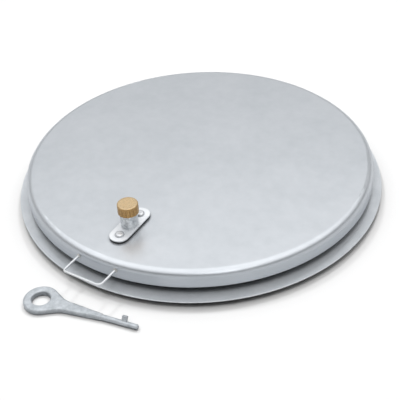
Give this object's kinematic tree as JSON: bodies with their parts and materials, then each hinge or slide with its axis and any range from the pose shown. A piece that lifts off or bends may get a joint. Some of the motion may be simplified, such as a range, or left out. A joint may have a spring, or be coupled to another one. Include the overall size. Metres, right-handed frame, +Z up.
{
  "type": "well cover",
  "caption": "Round sheet metal well cover: flat hinged lid with a deep skirt on a flanged collar, locked under a brass screw cap, with a lifting handle and a key.",
  "frame": {"origin": "centre of the anchor bolt circle, on the underside of the frame's flange", "axes": "+Z up through the lid, -Y to the lock and the handle at the front, +Y to the hinges at the back, +X to the right seen from the front"},
  "size_m": [0.9999, 1.1353, 0.1675],
  "materials": {
    "stainless_sheet": "satin, pickled stainless sheet",
    "stainless_fitting": "bright stainless fasteners and turned pieces",
    "steel_pipe": "dull pipe",
    "cast_metal": "galvanised casting",
    "brass": "bare brass, lightly tarnished",
    "bronze": "bearing bronze",
    "rubber": "matt black rubber"
  },
  "bodies": {
    "frame": {"frame_flange": "stainless_sheet", "frame_collar": "stainless_sheet", "frame_weld": "stainless_sheet", "latch_keeper": "stainless_sheet", "hinge_lug_left": "stainless_sheet", "hinge_lug_right": "stainless_sheet", "hinge_pin_left": "stainless_fitting", "hinge_pin_right": "stainless_fitting", "hinge_clip_left": "stainless_fitting", "hinge_clip_right": "stainless_fitting"},
    "lid": {"lid_shell": "stainless_sheet", "gasket_channel": "stainless_sheet", "lid_gasket": "rubber", "lid_rail_left": "stainless_sheet", "lid_rail_right": "stainless_sheet", "lid_cross_rail": "stainless_sheet", "hinge_arm_left": "stainless_sheet", "hinge_arm_right": "stainless_sheet", "lift_handle": "stainless_sheet", "handle_welds": "stainless_sheet", "lock_plate": "stainless_sheet", "lock_plate_gasket": "rubber", "lock_plate_screws": "stainless_fitting", "lock_plate_nuts": "stainless_fitting", "lock_tube": "steel_pipe", "key_guide_disc": "stainless_fitting", "spindle_bush": "bronze"},
    "latch": {"lock_spindle": "stainless_fitting", "spindle_ring": "stainless_fitting", "latch_arm": "stainless_fitting", "latch_washer": "stainless_fitting", "latch_nut": "stainless_fitting"},
    "cap_disc": {"cap_seal": "rubber"},
    "cap": {"lock_cap": "brass"},
    "key": {"key": "cast_metal"}
  },
  "joints": [
    {"name": "lid_hinge", "type": "hinge", "parent": "frame", "child": "lid", "pos_m": [0, 0.438, 0.054], "axis": [-1, 0, 0], "range_deg": [0, 95]},
    {"name": "latch_turn", "type": "hinge", "parent": "lid", "child": "latch", "pos_m": [0, -0.34, 0.05], "axis": [0, 0, -1], "range_deg": [0, 90]},
    {"name": "cap_lift", "type": "slide", "parent": "lid", "child": "cap_disc", "axis": [0, 0, 1], "range_m": [0, 0.0162]},
    {"name": "cap_turn", "type": "hinge", "parent": "cap_disc", "child": "cap", "pos_m": [0, -0.34, 0.13], "axis": [0, 0, 1], "range_deg": [0, 2520]},
    {"name": "key_lift", "type": "slide", "parent": "frame", "child": "key", "axis": [0, 0, 1], "range_m": [0, 0.3]}
  ],
  "couplings": [
    {"joint": "cap_lift", "follows": "cap_turn", "m_per_rad": 0.00036749}
  ]
}
